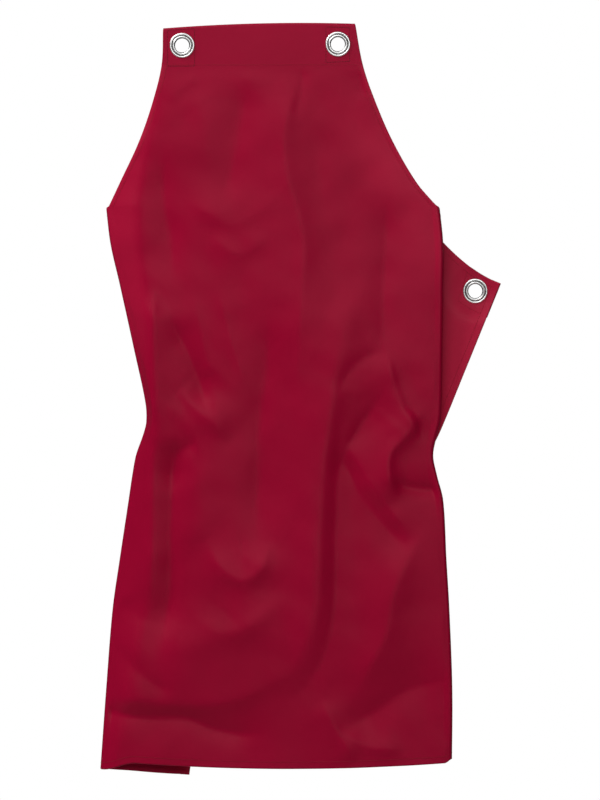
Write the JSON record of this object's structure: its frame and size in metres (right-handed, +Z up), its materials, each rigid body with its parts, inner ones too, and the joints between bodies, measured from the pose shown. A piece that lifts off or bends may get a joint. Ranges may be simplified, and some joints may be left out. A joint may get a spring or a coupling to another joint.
{
  "type": "bib apron body for interchangeable straps",
  "caption": "Dark red cloth bib apron body with metal eyelets at the bib corners and the sides for separate straps, hanging with its sides folded behind.",
  "frame": {"origin": "midway between the two bib eyelets, on the cloth's middle surface", "axes": "+Z up, +X to the viewer's right, the front faces -Y"},
  "size_m": [0.4805, 0.0781, 0.9039],
  "materials": {
    "cloth": "matt twill",
    "eyelet_metal": "polished nickel"
  },
  "bodies": {
    "root": {"panel": "cloth", "bib_facing": "cloth", "side_patch_left": "cloth", "side_patch_right": "cloth", "eyelet_bib_left": "eyelet_metal", "eyelet_bib_right": "eyelet_metal", "eyelet_side_left": "eyelet_metal", "eyelet_side_right": "eyelet_metal", "washer_bib_left": "eyelet_metal", "washer_bib_right": "eyelet_metal", "washer_side_left": "eyelet_metal", "washer_side_right": "eyelet_metal"}
  },
  "joints": []
}
